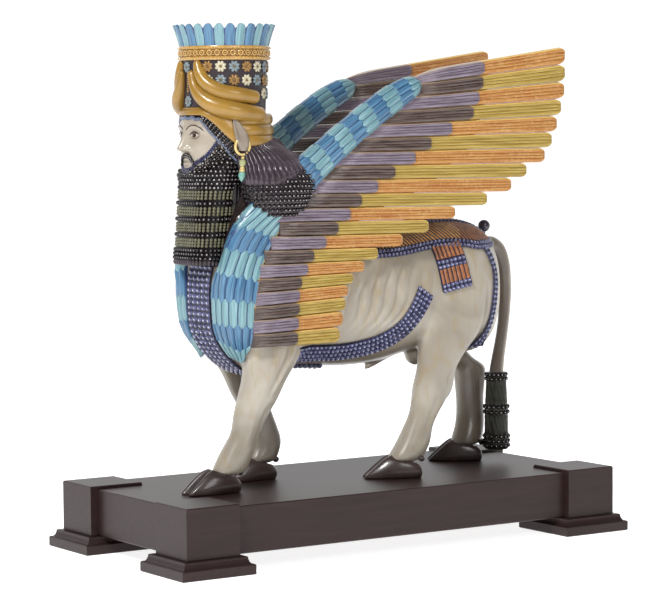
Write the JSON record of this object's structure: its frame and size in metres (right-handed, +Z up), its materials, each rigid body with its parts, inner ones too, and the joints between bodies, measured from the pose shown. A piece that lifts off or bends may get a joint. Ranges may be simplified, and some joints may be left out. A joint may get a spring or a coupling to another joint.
{
  "type": "lamassu statue",
  "caption": "Painted porcelain figurine of a walking, winged and human-headed bull with a horned feather crown, on a dark wooden plinth with corner posts and moulded feet.",
  "frame": {"origin": "on the floor under the middle of the plinth", "axes": "+Z up, +X along the plinth from the animal's head towards its tail, +Y towards the animal's right side"},
  "size_m": [0.5214, 0.2614, 0.5083],
  "materials": {
    "porcelain": "hand-painted porcelain, satin body with glossy beads and feathers",
    "dark_wood": "espresso stained and lacquered, satin"
  },
  "bodies": {
    "root": {"lamassu": "porcelain", "plinth_board": "dark_wood", "plinth_post_front_left": "dark_wood", "plinth_post_front_right": "dark_wood", "plinth_post_back_left": "dark_wood", "plinth_post_back_right": "dark_wood", "plinth_foot_front_left": "dark_wood", "plinth_foot_front_right": "dark_wood", "plinth_foot_back_left": "dark_wood", "plinth_foot_back_right": "dark_wood"}
  },
  "joints": []
}
